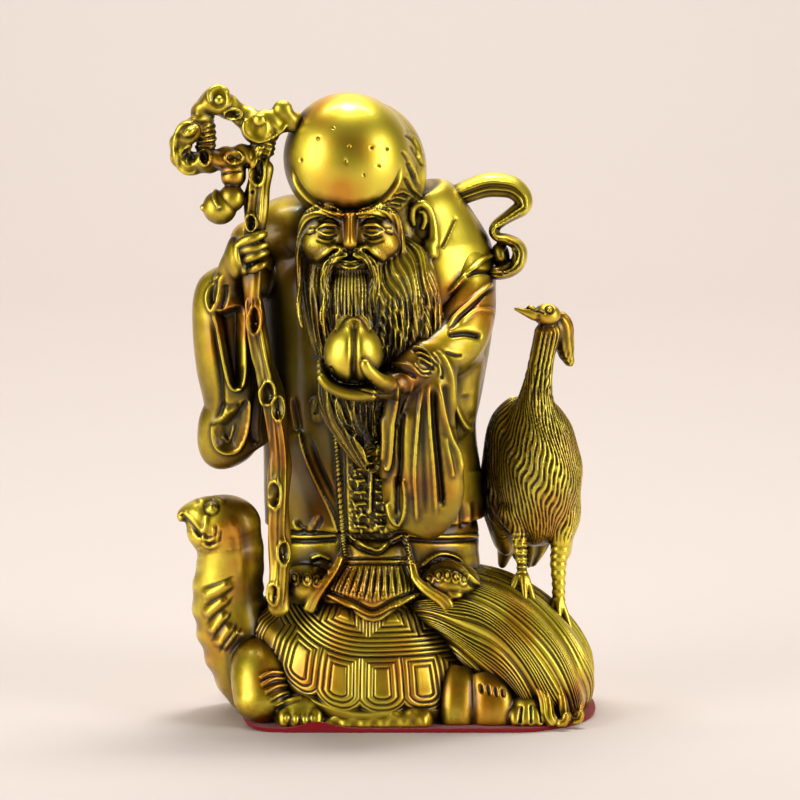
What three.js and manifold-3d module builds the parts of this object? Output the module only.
// A cast brass table figure of the old man of long life: he stands on a tortoise with a weed-grown tail,
// holds a gnarled staff and a peach, and has a crane at his side. The underside is closed by a felt sheet.
// Millimetres, +Z up, the viewer at -Y. The forms are drawn in 256ths of the figure's height.
import * as THREE from "three";
import { mergeVertices } from "three/addons/utils/BufferGeometryUtils.js";
import Module from "manifold-3d";

// Driving dimensions
const HEIGHT = 256;
const FELT_THICKNESS = 1.6;
const FELT_CLEARANCE = 0.3;
const FELT_MARGIN = 1.2;
const SHELL_LENGTH = 104;
const SHELL_WIDTH = 89;
const SHELL_TOP = 57;
const SHELL_RIM = 6.5;
const SHELL_HEAD_RISE = 30;
const STAFF_RADIUS = 4;
const PEACH_RADIUS = 11.6;
const RIBBON_THICKNESS = 7;
const RIBBON_WIDTH = 12;
const CORD_END_WIDTH = 5;
const APRON_RELIEF = 1.8;
const CRANE_LEG_RADIUS = 2.4;

const SCUTES = 20;
const DRAWN_UNITS = 256;
const K = HEIGHT / DRAWN_UNITS;
const UNDERSIDE = FELT_THICKNESS + FELT_CLEARANCE;
const FRONT = new THREE.Vector3(0, -1, 0);
const TAU = Math.PI * 2;

const wasm = await Module();
wasm.setup();

// Shaping

const at = (x, y, z) => new THREE.Vector3(x, y, z).multiplyScalar(K);

// a real length in the units that the forms are drawn in
const drawn = (length) => length / K;

// A smooth bump of height 1 at the middle, down to about nothing two widths away.
const bump = (value, middle, width) => Math.exp(-(((value - middle) / width) ** 2));

// Moves every vertex of a geometry: place(v) gets its old place and gives the new one.
function reshape(geometry, place) {
  const position = geometry.attributes.position;
  const v = new THREE.Vector3();
  for (let i = 0; i < position.count; i++) {
    const moved = place(v.fromBufferAttribute(position, i));
    position.setXYZ(i, moved.x, moved.y, moved.z);
  }
  return geometry;
}

// A limb swept through stations [x, y, z, half width, half depth]. carve(angle, share, across) adds to the
// radius; angle is a quarter turn at the front, and share runs from 0 at the first station to 1 at the last.
function limb(stations, sides, steps, carve = () => 0) {
  const spine = new THREE.CatmullRomCurve3(stations.map(([x, y, z]) => at(x, y, z)));
  const girth = new THREE.CatmullRomCurve3(stations.map(([, , , w, d]) => at(w, d ?? w, 0)));
  return reshape(new THREE.CylinderGeometry(1, 1, 1, sides, steps), (v) => {
    const share = THREE.MathUtils.clamp(v.y + 0.5, 0, 1);
    const angle = Math.atan2(v.z, v.x);
    const reach = Math.min(1, Math.hypot(v.x, v.z));
    const along = spine.getTangent(share);
    const across = new THREE.Vector3().crossVectors(along, FRONT).normalize();
    const deep = new THREE.Vector3().crossVectors(across, along);
    const half = girth.getPoint(share);
    const cut = reach * K * carve(angle, share, (half.x / K) * Math.cos(angle));
    return spine
      .getPoint(share)
      .addScaledVector(across, (half.x * reach + cut) * Math.cos(angle) * Math.sign(reach))
      .addScaledVector(deep, (half.y * reach + cut) * Math.sin(angle) * Math.sign(reach));
  });
}

// An egg with half sizes along x, y and z, turned about z. carve(x, y, z) gets the unit direction.
function egg([x, y, z], [rx, ry, rz], sides = 12, rings = 8, turn = 0, carve = () => 0) {
  const shape = reshape(new THREE.SphereGeometry(1, sides, rings).rotateX(Math.PI / 2), (v) => {
    const cut = carve(v.x, v.y, v.z);
    return new THREE.Vector3(v.x * (rx + cut), v.y * (ry + cut), v.z * (rz + cut)).multiplyScalar(K);
  });
  return shape.rotateZ(turn).translate(...at(x, y, z));
}

function solid(geometry) {
  const bare = new THREE.BufferGeometry().setAttribute("position", geometry.attributes.position);
  if (geometry.index) bare.setIndex(geometry.index);
  const merged = mergeVertices(bare, 1e-3);
  const corners = merged.index.array;
  // a triangle at a pole has two corners in one place, and is left out
  const whole = (i) => {
    const [a, b, c] = corners.slice(i - (i % 3), i - (i % 3) + 3);
    return a !== b && b !== c && c !== a;
  };
  return new wasm.Manifold(
    new wasm.Mesh({
      numProp: 3,
      vertProperties: merged.attributes.position.array,
      triVerts: Uint32Array.from(corners.filter((_, i) => whole(i))),
    }),
  );
}

const join = (geometries) => geometries.map(solid).reduce((all, one) => all.add(one));

// The tortoise: shell, underbody, raised neck and head, four legs and the weed-grown tail

function shell() {
  // share of the radius, share of the height, from the middle of the underside to the top
  const profile = [
    [0, -0.2],
    [0.9, -0.14],
    [1.0, 0.02],
    [0.93, 0.36],
    [0.85, 0.5],
    [0.81, 0.53],
    [0.66, 0.78],
    [0.42, 0.94],
    [0, 1],
  ].map(([r, h]) => new THREE.Vector2(r, h));
  const [halfLength, halfWidth, top] = [SHELL_LENGTH / 2, SHELL_WIDTH / 2, SHELL_TOP].map(drawn);
  const turned = new THREE.LatheGeometry(profile, SCUTES * 2).rotateX(Math.PI / 2);
  return reshape(turned, (v) => {
    const angle = Math.atan2(v.y, v.x);
    const radius = Math.hypot(v.x, v.y);
    const scallop = 1.3 * Math.cos(SCUTES * angle) * THREE.MathUtils.smoothstep(radius, 0.8, 0.98);
    const plates = 1.2 * Math.cos((SCUTES / 2) * angle) * bump(radius, 0.62, 0.2);
    const low = drawn(SHELL_RIM + SHELL_HEAD_RISE * Math.max(0, -Math.cos(angle)) ** 2.2 * radius);
    return at(
      -6 + v.x * halfLength + (scallop + plates) * Math.cos(angle),
      v.y * halfWidth + (scallop + plates) * Math.sin(angle),
      low + (top - low) * v.z + plates,
    );
  });
}

function neckAndHead() {
  const throat = [
    [-36, 0, 8, 20, 26],
    [-49, -4, 13, 17.5, 22],
    [-58.5, -6, 28, 15.5, 16],
    [-63, -7, 46, 14.8, 13],
    [-62, -8, 63, 13.6, 12.5],
    [-62.5, -9, 74, 13.8, 12],
    [-64, -10, 84, 9, 8],
  ];
  // ring folds in the skin of the throat
  const folds = (angle, share, across) =>
    across > -1 ? 0 : 1.2 * Math.cos(Math.PI * share * 14) * bump(share, 0.4, 0.2);
  const beak = [
    [-68, -11, 81, 9, 10],
    [-75.5, -11.5, 82, 6.2, 8],
    [-80.5, -12, 81.5, 3, 4.4],
    [-83, -12, 79, 1, 1.4],
  ];
  const jaw = [[-67, -11, 72, 9, 10], [-73.5, -12, 73, 5, 6.5], [-79, -12, 76, 2, 3]];
  const skull = egg([-64.5, -10, 78], [15, 12, 12], 10, 6);
  return [limb(throat, 9, 11, folds), skull, limb(beak, 6, 3), limb(jaw, 6, 2)];
}

function tortoiseLegs() {
  const foot = (x, side, y, high) =>
    egg([x, side * y, 4.5], [11, 9.5, high], 10, 4, 0, (u, v) => 0.8 * Math.cos(Math.atan2(v, u) * 5));
  const foreleg = (side) =>
    limb(
      [
        [-51, side * 12, 24, 9, 12],
        [-50, side * 25, 20, 11.5, 12],
        [-48.5, side * 33, 11, 11.5, 10],
        [-47, side * 36, -3, 11.5, 9],
      ],
      7,
      3,
    );
  const thigh = (side) =>
    limb(
      [
        [24, side * 27, -4, 9, 11],
        [31, side * 33, 8, 9, 11.5],
        [45, side * 33, 8, 9, 10.5],
        [50, side * 30, 0, 8, 9],
      ],
      7,
      4,
    );
  return [-1, 1].flatMap((side) => [
    foreleg(side),
    foot(-33, side, 36.5, 9.5),
    thigh(side),
    foot(59, side, 35, 10.5),
  ]);
}

// Long weed that grows from the shell, and hangs over its hind part to the ground.
const tail = () =>
  limb(
    [
      [4, 0, 47, 6, 20],
      [20, 0, 47, 12, 33],
      [40, 0, 38, 20, 41],
      [58, 0, 24, 22, 41],
      [70, 0, 8, 20, 36],
      [77, 0, -4, 10, 30],
    ],
    26,
    5,
    (angle) => 1.1 * Math.cos(angle * 13),
  );

const underbody = () =>
  limb([[-6, 0, -6, 50, 40], [-6, 0, 6, 50, 40], [-6, 0, 20, 46, 36]], 20, 1);

// The old man's robe, arms and clothes

function robes() {
  const under = [
    [0, 5, 28, 44, 28],
    [-1, 5, 44, 49, 31],
    [-1.5, 5.5, 52, 46.5, 28.5],
    [-3, 6, 62, 43, 26],
    [-4.5, 6, 84, 41, 24],
  ];
  const outer = [
    [-4, 6, 73.5, 44, 28],
    [-4.2, 6, 80, 44.6, 28],
    [-4.5, 5, 92, 44.5, 27],
    [-5.5, 5, 108, 43.5, 26],
    [-5.5, 4, 122, 43.5, 26],
    [-4, 4, 138, 45, 27],
    [-3, 5, 156, 47, 28.5],
    [-2.5, 6, 176, 48, 29.5],
    [-3, 6, 190, 45.5, 28],
    [-4, 5, 200, 38, 23],
    [-6.5, 4, 208, 28, 17],
    [-8, 1, 216, 10, 8],
  ];
  // long folds down the back
  const folds = (angle, share) => (Math.sin(angle) > 0.2 ? 0 : 1.4 * Math.cos(angle * 7 + 3 * share));
  return [limb(under, 24, 3, folds), limb(outer, 26, 9, folds)];
}

const rightSleeve = () =>
  limb(
    [
      [-57, -10, 103, 8, 5],
      [-60, -13, 110, 14, 9.5],
      [-60, -14, 118, 14.5, 11],
      [-58.5, -15, 128, 13.5, 12],
      [-60.5, -16, 144, 14.5, 13],
      [-61.5, -16, 160, 14.8, 13],
      [-62, -16, 172, 13.5, 12],
      [-60, -15, 185, 7, 8],
    ],
    14,
    9,
    // the open mouth of the sleeve
    (angle, share) => -3 * bump(angle, Math.PI / 2 + 0.2, 0.4) * bump(share, 0.58, 0.22),
  );

function rightArm() {
  const shoulder = [[-42, 4, 174, 14, 17], [-50, 4, 186, 12, 14], [-44, 5, 198, 9, 11]];
  const forearm = [
    [-60, -14, 160, 8, 9],
    [-61, -20, 174, 6.8, 7.5],
    [-60, -26, 183, 5.6, 5.8],
    [-57.8, -30, 190, 4.6, 5.4],
    [-57, -31, 196, 4, 5],
  ];
  const fist = [[-58, -32, 187, 4, 8], [-53, -35.4, 190.4, 3.6, 8.4], [-46, -34, 191.6, 3, 8]];
  const thumb = [[-58.5, -31, 193, 2.6], [-54, -35, 200, 2.6], [-47, -35, 200.5, 2]];
  return [
    limb(shoulder, 10, 4),
    limb(forearm, 7, 4),
    // the fingers closed round the staff
    limb(fist, 8, 3, (angle) => 0.5 * Math.cos(angle * 4)),
    limb(thumb, 4, 2),
  ];
}

const leftArm = () =>
  limb(
    [
      [16, 6, 196, 10, 12],
      [29, 4, 186, 12, 16],
      [33, -3, 168, 12.5, 16],
      [28, -18, 154, 12.5, 13],
      [15, -33, 147, 9.5, 9.5],
      [7, -40, 142, 7, 7],
      [3, -43, 140, 5.5, 5.5],
    ],
    9,
    8,
    (angle, share) => 1.1 * Math.cos(TAU * share * 5 + angle) * bump(share, 0.6, 0.25),
  );

function leftSleeve() {
  const fall = [
    [9.5, -27, 77, 9, 5],
    [13.5, -29, 86, 14.5, 7],
    [16, -30, 96, 16.5, 8],
    [16, -31, 110, 14.5, 8.5],
    [15.5, -32, 127, 13, 9],
    [17, -31, 145, 12.5, 9.5],
    [18, -29, 156, 9, 8],
  ];
  const elbow = [
    [27, -14, 112, 5, 6],
    [28, -11, 122, 9, 11],
    [29, -8, 138, 11, 15],
    [32, -5, 156, 11.5, 16],
  ];
  const frontFold = [
    [1.2, -31, 99, 2.6, 3],
    [1.8, -33.5, 110, 3.2, 4],
    [3.2, -36, 126, 3.4, 4],
    [8, -38.5, 142, 6, 4.5],
  ];
  const innerFold = [[4.5, -30, 79, 3, 3], [5, -31, 90, 3.4, 4], [6.5, -33, 104, 3, 4]];
  return [
    limb(fall, 14, 5, (angle) => 1.5 * Math.sin(angle * 7) * Math.max(0, Math.sin(angle))),
    limb(elbow, 8, 3),
    limb(frontFold, 5, 3),
    limb(innerFold, 5, 2),
  ];
}

function leftHand() {
  const palm = [[10, -40, 141, 6.4, 6], [2, -44, 139, 5, 7], [-8, -47.5, 137.4, 3, 8]];
  // the fingers side by side under the peach
  const fingers = [
    [-6, -47.5, 137.2, 2.8, 8],
    [-14, -48.5, 137.2, 2.6, 7.6],
    [-21, -48.5, 140.4, 2.4, 7],
    [-25, -47, 148, 1.8, 6],
  ];
  const thumb = [
    [4, -47, 139.5, 4, 3.4],
    [-1, -54, 142.5, 3, 2.9],
    [-5.4, -58, 147, 2.5, 2.3],
    [-7.6, -59.4, 151.5, 1.9, 1.8],
  ];
  return [limb(palm, 7, 2), limb(fingers, 8, 4), limb(thumb, 4, 3)];
}

function peach() {
  const radius = drawn(PEACH_RADIUS);
  return egg([-11.6, -48, 153], [radius, radius * 0.94, radius * 1.1], 14, 8, 0, (x, y, z) => {
    const cleft = bump(x, 0.04, 0.16) * THREE.MathUtils.smoothstep(-y, 0.1, 0.5);
    return -2.2 * cleft + 1.6 * bump(z, 1, 0.12) - 0.6 * z * Math.abs(x);
  });
}

function clothes() {
  const pleats = [
    [-3, -14, 72, 13.5, 8],
    [-3.5, -17, 60, 16, 10],
    [-4, -20, 51, 21, 12.5],
    [-4, -21, 43, 23, 12],
  ];
  const pleatTip = [[-4, -24, 52, 16, 10], [-4, -29, 45, 8, 6], [-4, -32, 40, 2, 2.4]];
  const leftCord = [
    [-17, -22, 100],
    [-17, -23, 80],
    [-19.5, -26, 63],
    [-24, -28.5, 56.5],
    [-27.5, -29, 51.5],
    [-30.2, -28.5, 43],
  ];
  const rightCord = [
    [11, -22, 76],
    [11.2, -25, 67],
    [16.2, -30, 55.9],
    [20.6, -31.5, 53],
    [24.8, -33, 50.2],
    [27.4, -34, 44],
  ];
  const cord = (points) => limb(points.map(([x, y, z]) => [x, y, z, drawn(CORD_END_WIDTH) / 2, 1.9]), 4, 5);
  const shoe = (x, y, z, reach) => egg([x, y, z], [reach, 13, 8], 9, 5);
  return [
    limb(pleats, 22, 2, (angle) => 1.2 * Math.cos(angle * 11)),
    limb(pleatTip, 6, 2),
    cord(leftCord),
    cord(rightCord),
    shoe(27, -19, 56, 12),
    shoe(-31.5, -18, 54.5, 11),
  ];
}

// A pointed panel that hangs from the belt, with rows of short raised strokes.
function apron() {
  const half = 9.5;
  const out = 4 + drawn(APRON_RELIEF);
  const corners = [[-half, 46], [-half, 8], [0, 0], [half, 8], [half, 46]];
  const outline = new THREE.Shape(corners.map(([x, z]) => new THREE.Vector2(x, z).multiplyScalar(K)));
  const place = (geometry) => geometry.rotateX(Math.PI / 2).translate(...at(-5, -18.5, 69));
  const panel = new THREE.ExtrudeGeometry(outline, { depth: out * K, bevelEnabled: false });
  const stroke = (row, side) => {
    const [width, off] = row % 2 ? [7, 4.2] : [5, 3.6];
    const bar = new THREE.BoxGeometry(width * K, 2 * K, 2.4 * K);
    return bar.translate(...at(side * off, 12 + row * 6.2, out));
  };
  const rows = [0, 1, 2, 3, 4].flatMap((row) => [stroke(row, -1), stroke(row, 1)]);
  return [panel, ...rows].map(place);
}

// A streamer that flies up behind the left shoulder and curls back to the arm.
const ribbon = () =>
  limb(
    [
      [14, 8, 203],
      [23, 8, 208.6],
      [31, 8, 213.2],
      [39.5, 8, 216.4],
      [48, 8, 217],
      [54.6, 7, 214.2],
      [56.6, 7, 209.4],
      [54, 6, 204.6],
      [48.6, 5, 200.8],
      [45, 4, 196],
      [46.4, 3, 192.4],
      [51.4, 2, 190.2],
      [54.2, 1, 186],
      [52.8, 0, 181],
      [48, -1, 177.6],
      [40, -2, 178],
    ].map(([x, y, z]) => [x, y, z, drawn(RIBBON_THICKNESS) / 2, drawn(RIBBON_WIDTH) / 2]),
    6,
    20,
  );

// The head, with a tall bald brow, a long ear, moustache and beard

function head() {
  const middle = -12.8;
  const ear = [
    [15.5, -17, 182, 3.4],
    [16, -16.5, 189, 3.8],
    [15.5, -15, 197, 4.4],
    [13.5, -14, 206, 4],
  ];
  // the hair that hides the ear by the staff
  const lock = [[-31, -18, 207, 5], [-35, -21, 194, 5], [-34, -24, 178, 5.5], [-29, -26, 160, 4]];
  const feature = (side) => {
    const out = (off) => middle + side * off;
    const moustache = [[out(1), -38.6, 190.4, 2], [out(8.2), -37.6, 186, 2.4], [out(9.6), -37.6, 165, 1.6]];
    return [limb(moustache, 4, 3), egg([out(10), -32.8, 196], [7, 5.6, 9], 7, 5)];
  };
  const nose = [
    [middle, -36, 206.5, 2],
    [middle, -39, 201, 2.3],
    [middle, -41.4, 194.5, 3.4],
    [middle, -39, 191, 2.4],
  ];
  const lips = [[middle - 7, -34, 187, 1.4], [middle, -37.6, 185.6, 2.6], [middle + 7, -34, 187, 1.4]];
  return [
    egg([-14, -20, 227], [25.5, 24, 26], 16, 10),
    egg([-7, -7, 221], [24.5, 24, 28], 11, 7),
    egg([middle, -26, 196], [20.5, 12, 17], 8, 5),
    limb(nose, 5, 3),
    limb(lips, 5, 2),
    ...feature(-1),
    ...feature(1),
    limb(ear, 7, 4),
    limb(lock, 6, 4),
  ];
}

const beard = () =>
  limb(
    [
      [-3.8, -30, 102, 2, 3],
      [-6, -29.5, 110, 6.5, 7],
      [-9.5, -27, 120, 10.5, 9],
      [-11.5, -26, 131, 14.5, 11],
      [-5.5, -25, 142, 21.5, 13],
      [-1, -25, 150, 25, 14.5],
      [-3.5, -25, 163, 27, 15],
      [-7, -23, 178, 27.5, 14],
      [-8, -18, 190, 25.5, 12],
      [-8, -14, 200, 22, 10],
    ],
    20,
    8,
    (angle) => (Math.sin(angle) < -0.3 ? 0 : Math.cos(angle * 10)),
  );

// The gnarled staff, its crook and the gourd that hangs from it

function staff() {
  const radius = drawn(STAFF_RADIUS);
  const knots = (angle, share) => 0.7 * Math.sin(share * 46 + 2 * angle);
  const gnarled = (points, sides, steps) =>
    limb(points.map(([x, y, z, r]) => [x, y, z, radius * r]), sides, steps, knots);
  const knob = (x, y, z, r) => egg([x, y, z], [radius * r, radius * r * 0.8, radius * r], 6, 4);
  const shaft = [
    [-42.2, -31, 42, 0.95],
    [-41.4, -31, 67, 1.05],
    [-41.8, -31, 83, 1.05],
    [-41, -31, 110, 1.05],
    [-42.9, -31, 130, 1.05],
    [-48.7, -31.5, 155.4, 1],
    [-51.1, -31.5, 171.5, 1],
    [-51.4, -31, 186, 1],
    [-49.6, -30, 211, 1.15],
    [-48, -30, 229, 1.2],
  ];
  const lower = [
    [-48.2, -31, 228, 1.1],
    [-60.1, -31, 227.7, 1.12],
    [-74.7, -31, 226.8, 1.1],
    [-78.6, -31, 232, 1.15],
    [-76, -31, 238.5, 1.2],
  ];
  const wall = [[-70.4, -28, 244.6, 1], [-70, -27, 236, 0.95], [-71, -28, 228.4, 0.9]];
  const upper = [
    [-74, -30, 238.5, 1],
    [-69.8, -29, 247.5, 1.15],
    [-65.4, -29, 250.2, 1.2],
    [-55.2, -29, 243.8, 1.1],
    [-48.8, -29, 241, 1.2],
    [-38, -28, 242, 1.1],
    [-30, -25, 241, 1],
  ];
  const brace = [[-48.4, -29, 227, 1.2], [-45, -28, 237.5, 1.1], [-41, -28, 240.2, 1]];
  const stalk = [[-58.5, -31, 228, 4.6], [-58.8, -31, 221, 5], [-58.6, -31.5, 213, 4.4]];
  return [
    gnarled(shaft, 6, 11),
    gnarled(lower, 5, 5),
    gnarled(wall, 4, 2),
    gnarled(upper, 5, 6),
    gnarled(brace, 4, 2),
    knob(-65.4, -31, 250.2, 1.5),
    knob(-76, -32, 238, 1.35),
    knob(-49, -32, 240, 1.65),
    limb(stalk, 6, 2),
    egg([-59.6, -32, 210.4], [5.6, 5.8, 5.8], 8, 5),
    egg([-66.6, -32, 208.6], [6.2, 6.6, 6.6], 8, 5),
  ];
}

// The crane beside him

function crane() {
  const shank = drawn(CRANE_LEG_RADIUS);
  const leg = (points, toes) => {
    const [x, y, z] = points[0];
    const toe = ([turn, reach]) => {
      const [outX, outY] = [Math.sin(turn) * reach, -Math.cos(turn) * reach * 0.8];
      return [
        [x, y, z + 4, 1.8],
        [x + outX * 0.6, y + outY * 0.6, z - 2.5, 1.8],
        [x + outX, y + outY, z - 9, 1.3],
      ];
    };
    return [limb(points, 6, 5), ...toes.map((one) => limb(toe(one), 4, 2))];
  };
  const leftWing = [
    [51, 20, 60, 2, 4],
    [49, 17, 74, 7, 11],
    [48.5, 11, 96, 9, 15],
    [51, 8, 118, 6.5, 10],
    [56, 7, 127, 3, 5],
  ];
  const rightWing = [[74, 20, 58, 2, 4], [76, 16, 74, 4, 10], [75, 9, 97, 6, 15], [71, 7, 119, 5, 9]];
  const tailFeathers = [[60, 36, 52, 3, 2], [60, 29, 64, 9, 5], [60, 20, 82, 12, 8]];
  const neck = [
    [61.5, 4, 105, 15, 16],
    [61.5, 2, 117, 12, 12],
    [61.8, 0, 127, 7.2, 8],
    [62.6, -1, 136, 5.2, 6],
    [64, -1, 146, 4.5, 5],
    [66, -2, 158, 5, 5],
    [66.2, -2, 163, 4, 4],
  ];
  const bill = [[63, -4, 162.2, 3.4, 3], [58.5, -5.4, 163.8, 2.2, 2.2], [52.6, -6.2, 165.4, 0.8, 0.8]];
  const plume = [
    [69, 1, 161, 3, 3],
    [72.8, 3, 156, 3.4, 4],
    [75, 4, 147, 2.8, 3.4],
    [77, 5, 135.5, 0.9, 1.2],
  ];
  const rough = (x, y, z) => 0.8 * Math.cos(Math.atan2(y, x) * 6 + z * 12);
  return [
    egg([62, 7, 97], [18.2, 22, 31], 12, 8, 0, rough),
    limb(leftWing, 7, 4),
    limb(rightWing, 7, 3),
    limb(tailFeathers, 6, 2),
    limb(neck, 8, 6),
    egg([66, -2.5, 162.4], [5.6, 5, 4.6], 7, 4),
    limb(bill, 5, 2),
    limb(plume, 5, 4),
    ...leg(
      [
        [56.4, -9, 53, shank],
        [56.1, -8.5, 61.6, shank],
        [55.4, -7, 69.5, shank * 1.3],
        [54.6, -3, 80, 8],
        [55, 0, 88, 10],
      ],
      [[-0.8, 9], [0.4, 9.5]],
    ),
    ...leg(
      [
        [71.4, 0, 40, shank * 1.2],
        [71.6, 0, 50, shank * 1.15],
        [71.4, 0.5, 60, shank * 1.4],
        [70.5, 3, 78, 8.5],
        [69, 5, 88, 10],
      ],
      [[-0.7, 8], [0.5, 8]],
    ),
  ];
}

// The casting, cut flat where it stands on the felt

function casting() {
  const forms = [
    shell(),
    ...neckAndHead(),
    underbody(),
    tail(),
    ...tortoiseLegs(),
    ...robes(),
    rightSleeve(),
    ...rightArm(),
    leftArm(),
    ...leftSleeve(),
    ...leftHand(),
    peach(),
    ...clothes(),
    ...apron(),
    ribbon(),
    ...head(),
    beard(),
    ...staff(),
    ...crane(),
  ];
  const reach = HEIGHT * 2;
  const above = new THREE.BoxGeometry(reach, reach, reach).translate(0, 0, reach / 2 + UNDERSIDE);
  // what the forms enclose between them is solid metal, so only outer skins are kept
  const skins = join(forms).intersect(solid(above)).decompose();
  return skins.filter((skin) => skin.volume() > 0).reduce((all, skin) => all.add(skin));
}

// The outline that a thread drawn tight round the points would take, anticlockwise.
function around(points) {
  const sorted = [...points].sort((a, b) => a.x - b.x || a.y - b.y);
  const turns = (a, b, c) => (b.x - a.x) * (c.y - a.y) - (b.y - a.y) * (c.x - a.x);
  const half = (list) =>
    list.reduce((chain, point) => {
      while (chain.length > 1 && turns(chain.at(-2), chain.at(-1), point) <= 0) chain.pop();
      return [...chain, point];
    }, []);
  return [...half(sorted).slice(0, -1), ...half(sorted.reverse()).slice(0, -1)];
}

// The felt is cut round the foot of the casting, a margin outside it.
function felt(cast) {
  const { vertProperties, numVert } = cast.getMesh();
  const foot = [...Array(numVert).keys()]
    .filter((i) => vertProperties[i * 3 + 2] < UNDERSIDE + FELT_CLEARANCE)
    .map((i) => new THREE.Vector2(vertProperties[i * 3], vertProperties[i * 3 + 1]));
  const directions = Array.from({ length: 12 }, (_, i) => (TAU * i) / 12);
  const outline = around(
    around(foot).flatMap(({ x, y }) =>
      directions.map((a) => new THREE.Vector2(x + FELT_MARGIN * Math.cos(a), y + FELT_MARGIN * Math.sin(a))),
    ),
  );
  return new THREE.ExtrudeGeometry(new THREE.Shape(outline), { depth: FELT_THICKNESS, bevelEnabled: false });
}

function geometryOf(manifold) {
  const { vertProperties, triVerts } = manifold.getMesh();
  return new THREE.BufferGeometry()
    .setAttribute("position", new THREE.BufferAttribute(vertProperties, 3))
    .setIndex(new THREE.BufferAttribute(triVerts, 1));
}

function named(name, geometry, look) {
  geometry.computeVertexNormals();
  const mesh = new THREE.Mesh(geometry, new THREE.MeshStandardMaterial(look));
  mesh.name = name;
  return mesh;
}

const cast = casting();
const figure = new THREE.Group();
figure.add(
  named("brass_casting", geometryOf(cast), { color: 0xb89a26, metalness: 1, roughness: 0.3 }),
  named("felt_base", felt(cast), { color: 0x8e1a22, metalness: 0, roughness: 0.95 }),
);

// The frame's origin is under the middle of the figure's box.
const middle = new THREE.Box3().setFromObject(figure).getCenter(new THREE.Vector3());
figure.position.set(-middle.x, -middle.y, 0);

export default figure;
